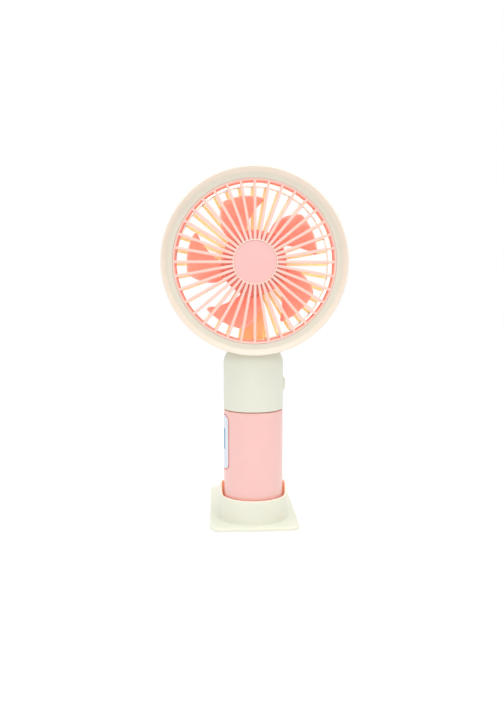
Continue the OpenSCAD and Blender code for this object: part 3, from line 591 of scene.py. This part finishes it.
def cover_inside_painted_light(nt, tc, col):
    """Painted light: the rear cover's inside wall is painted a paler near-white, lifting the shade that falls inside
    the head; its outside keeps the darker cream.
    """
    L = nt.links.new
    ps = nd(nt, "ShaderNodeSeparateXYZ"); L(tc.outputs["Object"], ps.inputs[0])
    zc = nd(nt, "ShaderNodeMath", operation="SUBTRACT"); L(ps.outputs["Z"], zc.inputs[0]); zc.inputs[1].default_value = HZ * MM
    cx = nd(nt, "ShaderNodeCombineXYZ"); L(ps.outputs["X"], cx.inputs[0]); L(zc.outputs[0], cx.inputs[1])
    ln = nd(nt, "ShaderNodeVectorMath", operation="LENGTH"); L(cx.outputs[0], ln.inputs[0])
    mid = nd(nt, "ShaderNodeMapRange"); mid.clamp = False; mid.inputs["From Min"].default_value = -0.015; mid.inputs["From Max"].default_value = 0.007; mid.inputs["To Min"].default_value = 0.0456; mid.inputs["To Max"].default_value = 0.04415; L(ps.outputs["Y"], mid.inputs["Value"])
    df = nd(nt, "ShaderNodeMath", operation="SUBTRACT"); L(mid.outputs[0], df.inputs[0]); L(ln.outputs["Value"], df.inputs[1])
    r = nd(nt, "ShaderNodeMapRange"); r.inputs["From Min"].default_value = -0.0001; r.inputs["From Max"].default_value = 0.0001; L(df.outputs[0], r.inputs["Value"])
    bk = nd(nt, "ShaderNodeMapRange"); bk.inputs["From Min"].default_value = 0.0108; bk.inputs["From Max"].default_value = 0.0101; L(ps.outputs["Y"], bk.inputs["Value"])
    m = nd(nt, "ShaderNodeMath", operation="MULTIPLY"); L(r.outputs[0], m.inputs[0]); L(bk.outputs[0], m.inputs[1])
    mx = nd(nt, "ShaderNodeMix", data_type="RGBA"); mx.inputs["B"].default_value = srgb(246, 243, 236)
    L(m.outputs[0], mx.inputs["Factor"]); L(col, mx.inputs["A"])
    return mx.outputs["Result"]
# the rear cover's inside wall is painted light
M["housing"] = plastic("cream_rear_housing", srgb(212, 204, 187), srgb(207, 198, 180), rough=0.46, grain=0.35, extra=cover_inside_painted_light)
def rear_guard_painted_light(nt, tc, col):
    """The rear guard's rim takes the cover's cream at the back; painted light makes the rim's front near-white, lifting
    the shade inside the head, and painted shade makes the front of the lead channel and hub a deeper orange, standing
    in for shade and coral bounce light.
    """
    L = nt.links.new
    ps = nd(nt, "ShaderNodeSeparateXYZ"); L(tc.outputs["Object"], ps.inputs[0])
    zc = nd(nt, "ShaderNodeMath", operation="SUBTRACT"); L(ps.outputs["Z"], zc.inputs[0]); zc.inputs[1].default_value = HZ * MM
    cx = nd(nt, "ShaderNodeCombineXYZ"); L(ps.outputs["X"], cx.inputs[0]); L(zc.outputs[0], cx.inputs[1])
    ln = nd(nt, "ShaderNodeVectorMath", operation="LENGTH"); L(cx.outputs[0], ln.inputs[0])
    d = nd(nt, "ShaderNodeMapRange"); d.inputs["From Min"].default_value = 0.0094; d.inputs["From Max"].default_value = 0.0088; L(ps.outputs["Y"], d.inputs["Value"])
    deep = nd(nt, "ShaderNodeMix", data_type="RGBA"); deep.inputs["B"].default_value = srgb(244, 176, 118); L(d.outputs[0], deep.inputs["Factor"]); L(col, deep.inputs["A"])
    r = nd(nt, "ShaderNodeMapRange"); r.inputs["From Min"].default_value = 0.0407; r.inputs["From Max"].default_value = 0.0409; L(ln.outputs["Value"], r.inputs["Value"])
    bk = nd(nt, "ShaderNodeMapRange"); bk.inputs["From Min"].default_value = 0.0115; bk.inputs["From Max"].default_value = 0.0122; L(ps.outputs["Y"], bk.inputs["Value"])
    rim = nd(nt, "ShaderNodeMix", data_type="RGBA"); rim.inputs["A"].default_value = srgb(248, 243, 233); rim.inputs["B"].default_value = srgb(218, 204, 180); L(bk.outputs[0], rim.inputs["Factor"])
    mx = nd(nt, "ShaderNodeMix", data_type="RGBA"); L(rim.outputs["Result"], mx.inputs["B"])
    L(r.outputs[0], mx.inputs["Factor"]); L(deep.outputs["Result"], mx.inputs["A"])
    return mx.outputs["Result"]
# the rear guard's near-white rim front is painted light, its deeper orange lead channel painted shade
M["rear"] = plastic("peach_rear_grille", srgb(252, 208, 150), srgb(250, 203, 142), rough=0.44, grain=0.3, sss=0.7, sss_mm=3.0, extra=rear_guard_painted_light)
piece(make_cover(), "fan", "housing_plastic", "rear_housing", mat=M["housing"])
piece(make_rear_grille(), "fan", "rear_grille_plastic", "rear_grille", mat=M["rear"])

# ---------------------------------------------------------------- impeller
LEAD = [(15.9, 106.0), (17.4, 104.8), (20.5, 99.3), (23.9, 93.6), (27.4, 88.6), (29.6, 85.8), (31.2, 83.0), (32.4, 80.8), (33.4, 79.8), (34.2, 80.0), (34.8, 81.2)]
TRAIL = [(15.9, 133.0), (19.0, 135.6), (22.0, 135.4), (24.5, 133.2), (27.0, 129.8), (31.0, 124.0), (33.0, 120.8), (34.2, 118.4), (34.8, 116.2)]
def interp(tab, r):
    for (a, b), (c, d) in zip(tab, tab[1:]):
        if r <= c:
            t = (r - a) / (c - a); return b + (d - b) * t
    return tab[-1][1]
def smooth_tab(tab, r):
    # gently smoothed table
    return (interp(tab, max(15.9, r - 0.5)) + 2 * interp(tab, r) + interp(tab, min(34.8, r + 0.5))) / 4

def make_blade(k):
    NU, NV = 44, 48
    def mid(u, v):
        r = 16.0 + (34.8 - 16.0) * v
        tl, tt = smooth_tab(LEAD, r), smooth_tab(TRAIL, r)
        th = radians(tl + (tt - tl) * u + 72 * k)
        c = r * radians(tt - tl)
        pitch = radians(37 - 12 * v)
        f = 3.0 + c * (u - 0.5) * math.tan(pitch) + 1.5 * (4 * u * (1 - u)) * (0.5 + 0.5 * v) - 0.6
        return Vector((r * cos(th), r * sin(th), f))
    verts = []
    N = (NU + 1) * (NV + 1)
    grid = [[mid(i / NU, j / NV) for i in range(NU + 1)] for j in range(NV + 1)]
    top, bot = [], []
    for j in range(NV + 1):
        for i in range(NU + 1):
            e = 1e-3
            u, v = i / NU, j / NV
            a = mid(min(1, u + e), v) - mid(max(0, u - e), v); b = mid(u, min(1, v + e)) - mid(u, max(0, v - e))
            nrm = a.cross(b).normalized()
            if nrm.z < 0: nrm = -nrm
            eu = min(u, 1 - u) * 22.0 / 0.9; ev = (1 - v) * 19 / 0.9
            q = min(1.0, max(0.0, min(eu, ev)))
            t = (1.35 - 0.45 * v) / 2 * sqrt(max(0.0, 1 - (1 - q) ** 2))
            top.append(grid[j][i] + nrm * t); bot.append(grid[j][i] - nrm * t)
    allv = [head_pt(*p) for p in top + bot]
    faces = []
    W = NU + 1
    for j in range(NV):
        for i in range(NU):
            a, b, c, d = j * W + i, j * W + i + 1, (j + 1) * W + i + 1, (j + 1) * W + i
            faces.append((a, b, c, d)); faces.append((N + a, N + d, N + c, N + b))
    for i in range(NU):       # root
        faces.append((i, N + i, N + i + 1, i + 1))
    ob = new_obj("bl%d" % k, allv, faces, 60, recalc=False)
    bm = bmesh.new(); bm.from_mesh(ob.data)
    bmesh.ops.remove_doubles(bm, verts=bm.verts, dist=1e-7)
    bmesh.ops.recalc_face_normals(bm, faces=bm.faces)
    bm.to_mesh(ob.data); bm.free()
    shade(ob, 60)
    return ob

def make_impeller():
    obs = [lathe("i0", [(0, 10.35)] + rounded([(0, 10.35, 0), (7.6, 10.35, 0.5), (8.2, 10.6, 0.4), (14.9, 10.6, 1.4), (17, 8.4, 1.8), (17, -3.6, 0.3), (16.05, -3.6, 0), (16.05, 8.9, 0), (2.2, 8.9, 0), (2.2, 7.1, 0), (1.0, 7.1, 0), (1.0, 9.9, 0), (0, 9.9, 0)], False, 7)[1:], 192, head=True, closed=False)]
    for k in range(5): obs.append(make_blade(k))
    return join("fan_wheel", obs, 45)
piece(make_impeller(), "rotor", "impeller_plastic", "impeller", mat=M["coral"])

# ---------------------------------------------------------------- button
def make_button():
    # a stadium key with a pillowed face and a retaining flange
    out = stadium(5.0, 8.5, 14)
    n = len(out)
    lv = [(1.0, 13.5), (1.0, NR - 0.35)]
    for k in range(1, 25):
        t = k / 25
        s = sqrt(1 - t * t) if t < 0.35 else sqrt(1 - t * t)
        lv.append((s, NR - 0.35 + (BX - NR + 0.35) * t))
    verts = []
    for s, x in lv: verts += [(x, u * s, BZ + v * s) for u, v in out]
    L = len(verts) // n
    verts.append((BX, 0, BZ))
    faces = [tuple(range(n))[::-1]]
    for l in range(L - 1):
        for k in range(n): faces.append((l * n + k, l * n + (k + 1) % n, (l + 1) * n + (k + 1) % n, (l + 1) * n + k))
    c = len(verts) - 1
    for k in range(n): faces.append(((L - 1) * n + k, (L - 1) * n + (k + 1) % n, c))
    key = new_obj("key", verts, faces, 40)
    fl = prism("flange", stadium(6.2, 9.8, 12), 12.8, 13.55, lambda u, v, w: (w, u, BZ + v))
    return join("power_key", [key, fl], 40)
piece(make_button(), "button", "neck_plastic", "power_button", mat=M["cream"])

# ---------------------------------------------------------------- finishes for the CAD nodes that stay
M["steel"] = metal("steel", srgb(190, 192, 196), 0.28, 1)
M["brass"] = metal("sinter_bronze", srgb(190, 150, 90), 0.4)
M["copper"] = metal("enamelled_copper", srgb(200, 110, 70), 0.35, 2, 1500)
M["magnet"] = metal("sintered_magnet", srgb(80, 80, 84), 0.6)
M["board"] = plastic("solder_mask", srgb(20, 92, 54), srgb(16, 78, 48), rough=0.28, grain=0.2, sss=0, coat=0.4)
M["chip"] = plastic("chip_black", srgb(28, 28, 30), srgb(20, 20, 22), rough=0.5, grain=0.4, sss=0)
M["wire"] = plastic("lead_red", srgb(176, 30, 30), rough=0.45, grain=0.1)
M["wire2"] = plastic("lead_black", srgb(26, 26, 28), srgb(20, 20, 22), rough=0.45, grain=0.1, sss=0)
M["sleeve"] = plastic("cell_sleeve", srgb(60, 150, 165), rough=0.3, grain=0.1, coat=0.3, sss=0)
M["foam"] = plastic("foam_dark", srgb(62, 62, 66), rough=0.9, grain=1.0, grain_mm=0.6, sss=0, spec=0.2)
M["pad"] = plastic("pad_rubber", srgb(196, 197, 194), rough=0.8, grain=0.8, grain_mm=0.5, sss=0, spec=0.3)
M["light"] = plastic("light_pipe", srgb(240, 244, 246), srgb(232, 238, 242), rough=0.2, grain=0.05, sss=0.4, coat=0.4)
keep = {"anti_slip_pad": "pad", "bearing_tube": "brass", "front_bearing": "brass", "rear_bearing": "brass", "stator_core": "steel", "stator_coils": "copper", "motor_board": "board",
    "motor_wires": "wire", "battery_cell": "sleeve", "battery_tabs": "steel", "battery_foam_pads": "foam", "battery_wires": "wire2", "circuit_board": "board", "board_components": "chip",
    "usb_socket": "steel", "switch_body": "chip", "light_guide": "light", "shell_screws": "steel", "board_screws": "steel", "rotor_yoke": "steel", "ring_magnet": "magnet",
    "rotor_shaft": "steel", "retaining_clip": "chip", "switch_plunger": "chip"}
for n, k in keep.items():
    o = nodes[n]
    if not o.data.materials: o.data.materials.append(M[k])
    for i in range(len(o.material_slots)):
        o.material_slots[i].link = "OBJECT"
        o.material_slots[i].material = M[k]

# ---------------------------------------------------------------- studio
floor = bpy.data.meshes.new("floor"); floor.from_pydata([(-4, -4, 0), (4, -4, 0), (4, 4, 0), (-4, 4, 0)], [], [(0, 1, 2, 3)])
fo = bpy.data.objects.new("studio_floor", floor); bpy.context.scene.collection.objects.link(fo)
fm = bpy.data.materials.new("studio_white"); fm.use_nodes = True
fb = fm.node_tree.nodes["Principled BSDF"]; fb.inputs["Base Color"].default_value = (0.34, 0.34, 0.34, 1); fb.inputs["Roughness"].default_value = 0.9; fb.inputs["Specular IOR Level"].default_value = 0.1; fb.inputs["Emission Color"].default_value = (1, 1, 1, 1); fb.inputs["Emission Strength"].default_value = 0.70
fo.data.materials.append(fm)

w = bpy.data.worlds.new("studio"); bpy.context.scene.world = w; w.use_nodes = True
wt = w.node_tree
bg = wt.nodes["Background"]; bg.inputs[0].default_value = (1, 1, 1, 1); bg.inputs[1].default_value = 0.815
bg2 = nd(wt, "ShaderNodeBackground"); bg2.inputs[1].default_value = 1.0; bg2.inputs[0].default_value = (1, 1, 1, 1)
lp = nd(wt, "ShaderNodeLightPath"); ms = nd(wt, "ShaderNodeMixShader")
wt.links.new(lp.outputs["Is Camera Ray"], ms.inputs[0]); wt.links.new(bg.outputs[0], ms.inputs[1]); wt.links.new(bg2.outputs[0], ms.inputs[2])
wt.links.new(ms.outputs[0], wt.nodes["World Output"].inputs[0])

def area(name, loc, target, size, power, col=(1, 1, 1)):
    l = bpy.data.lights.new(name, "AREA"); l.shape = "SQUARE"; l.size = size; l.energy = power; l.color = col
    o = bpy.data.objects.new(name, l); bpy.context.scene.collection.objects.link(o)
    o.location = loc
    o.rotation_euler = (Vector(target) - Vector(loc)).to_track_quat("-Z", "Y").to_euler()
    o.visible_camera = False
    return o
area("key_light", (-0.25, -1.1, 0.75), (0, 0, 0.12), 0.7, 1.5)
area("top_light", (0.05, -0.15, 1.4), (0, 0, 0.1), 0.9, 11.0)
# a soft front fill that reaches only what lies behind the guard
fill_on = bpy.data.collections.new("fill_receivers")
for n in ("fan_wheel", "rear_guard", "rear_cover"): fill_on.objects.link(bpy.data.objects[n])
for nm, loc, pw in (("guard_fill_a", (-0.16, -0.75, 0.36), 2.6), ("guard_fill_b", (0.14, -0.75, 0.05), 2.2)):
    lo = area(nm, loc, (0, 0, 0.1388), 0.35, pw)
    lo.light_linking.receiver_collection = fill_on
# small lamps that lift one piece each: the inside of the rear cover, the rear guard, the bore of the cup
def lift(name, loc, target, size, power, receiver, blocker):
    lo = area(name, loc, target, size, power)
    rc = bpy.data.collections.new(name + "_receivers"); rc.objects.link(bpy.data.objects[receiver]); lo.light_linking.receiver_collection = rc
    bc = bpy.data.collections.new(name + "_blockers"); bc.objects.link(bpy.data.objects[blocker]); lo.light_linking.blocker_collection = bc
lift("cover_lift", (0, -0.06, 0.1388), (0, 0, 0.1388), 0.03, 0.07, "rear_cover", "handle_foot")
lift("guard_lift", (0, -0.25, 0.1388), (0, 0, 0.1388), 0.2, 0.045, "rear_guard", "fan_wheel")
lift("bore_lift", (0, 0, 0.036), (0, 0, 0), 0.012, 0.0032, "stand_moulding", "stand_moulding")

sc = bpy.context.scene
sc.view_settings.view_transform = "Standard"
sc.view_settings.look = "None"
sc.view_settings.exposure = 0
sc.view_settings.gamma = 1
cam = bpy.data.cameras.new("cam"); co = bpy.data.objects.new("cam", cam); sc.collection.objects.link(co)
cam.sensor_fit = "AUTO"; cam.sensor_width = 36; cam.lens = 687.41 * 36 / 728
cam.clip_start = 0.01; cam.clip_end = 50
co.location = (-0.01875, -0.3656, 0.1231)
co.rotation_euler = (radians(90 - 5.87), 0, radians(-2.83))
sc.camera = co
